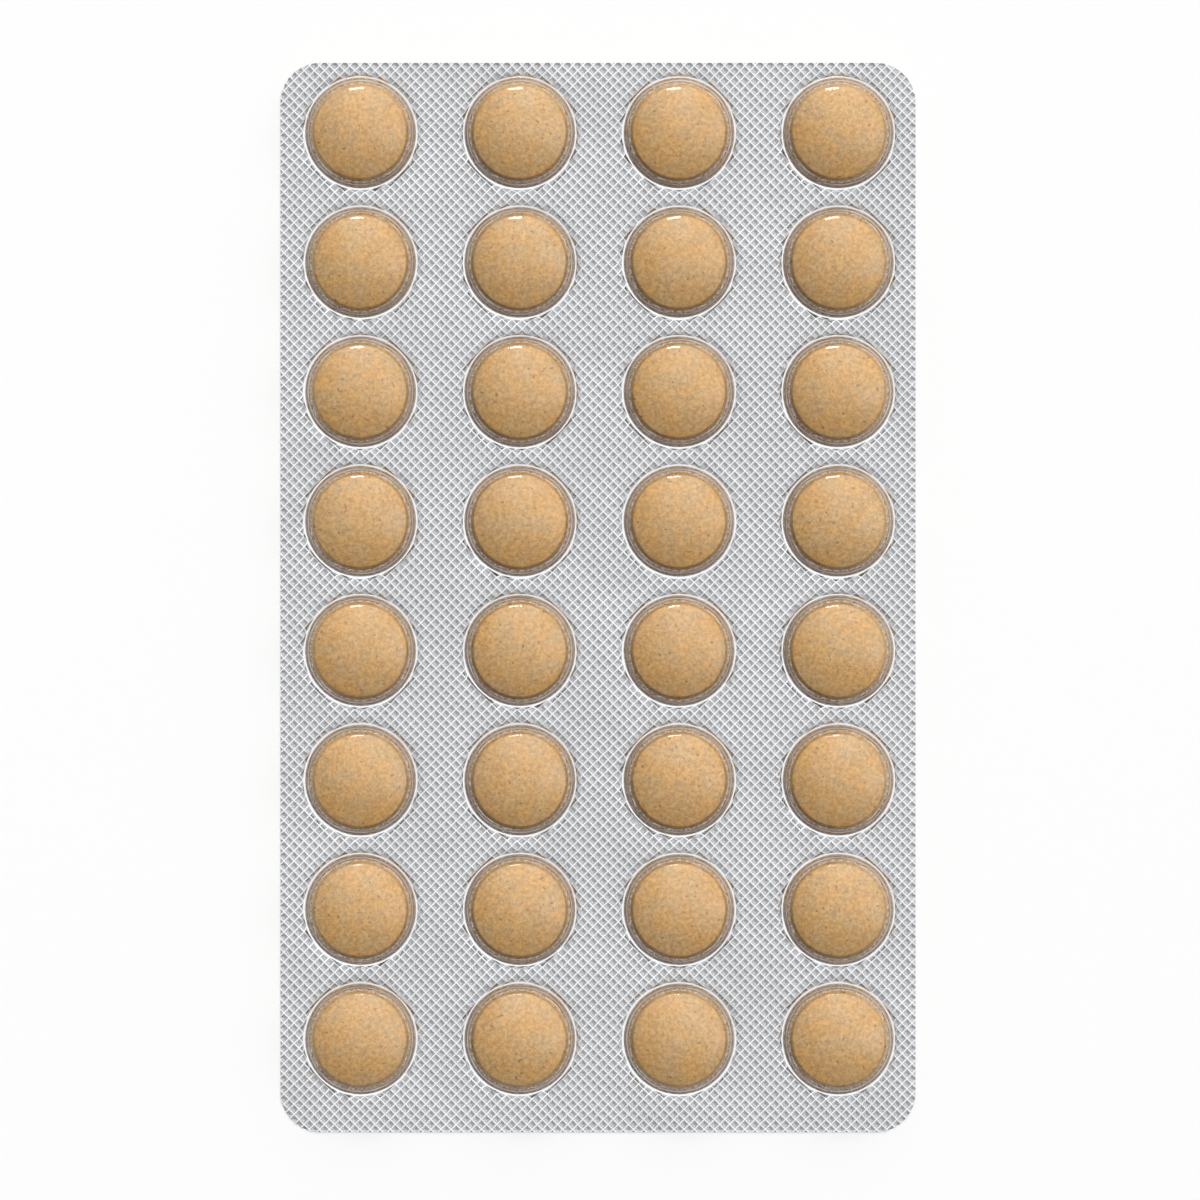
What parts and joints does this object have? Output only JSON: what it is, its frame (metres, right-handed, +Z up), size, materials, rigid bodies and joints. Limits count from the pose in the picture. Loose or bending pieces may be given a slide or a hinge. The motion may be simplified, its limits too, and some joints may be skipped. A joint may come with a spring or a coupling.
{
  "type": "pill blister pack",
  "caption": "Flat push-through pack: clear formed film with a grid of round domed pockets, a knurled foil sealed underneath and a biconvex tablet in each pocket.",
  "frame": {"origin": "centre of the rounded rectangular outline, on the foil's lower face, which the pack rests on", "axes": "+Z up out of the foil through the pockets, +Y along the pack's long side towards the end with the narrow margin, +X across the pack"},
  "size_m": [0.0636, 0.107, 0.0049],
  "materials": {
    "clear_film": "clear, glossy",
    "foil": "satin, diamond-knurled seal",
    "tablet": "matt, finely speckled pressed tablet"
  },
  "bodies": {
    "root": {"forming_film": "clear_film", "lidding_foil": "foil", "tablet_r1_c1": "tablet", "tablet_r1_c2": "tablet", "tablet_r1_c3": "tablet", "tablet_r1_c4": "tablet", "tablet_r2_c1": "tablet", "tablet_r2_c2": "tablet", "tablet_r2_c3": "tablet", "tablet_r2_c4": "tablet", "tablet_r3_c1": "tablet", "tablet_r3_c2": "tablet", "tablet_r3_c3": "tablet", "tablet_r3_c4": "tablet", "tablet_r4_c1": "tablet", "tablet_r4_c2": "tablet", "tablet_r4_c3": "tablet", "tablet_r4_c4": "tablet", "tablet_r5_c1": "tablet", "tablet_r5_c2": "tablet", "tablet_r5_c3": "tablet", "tablet_r5_c4": "tablet", "tablet_r6_c1": "tablet", "tablet_r6_c2": "tablet", "tablet_r6_c3": "tablet", "tablet_r6_c4": "tablet", "tablet_r7_c1": "tablet", "tablet_r7_c2": "tablet", "tablet_r7_c3": "tablet", "tablet_r7_c4": "tablet", "tablet_r8_c1": "tablet", "tablet_r8_c2": "tablet", "tablet_r8_c3": "tablet", "tablet_r8_c4": "tablet"}
  },
  "joints": []
}
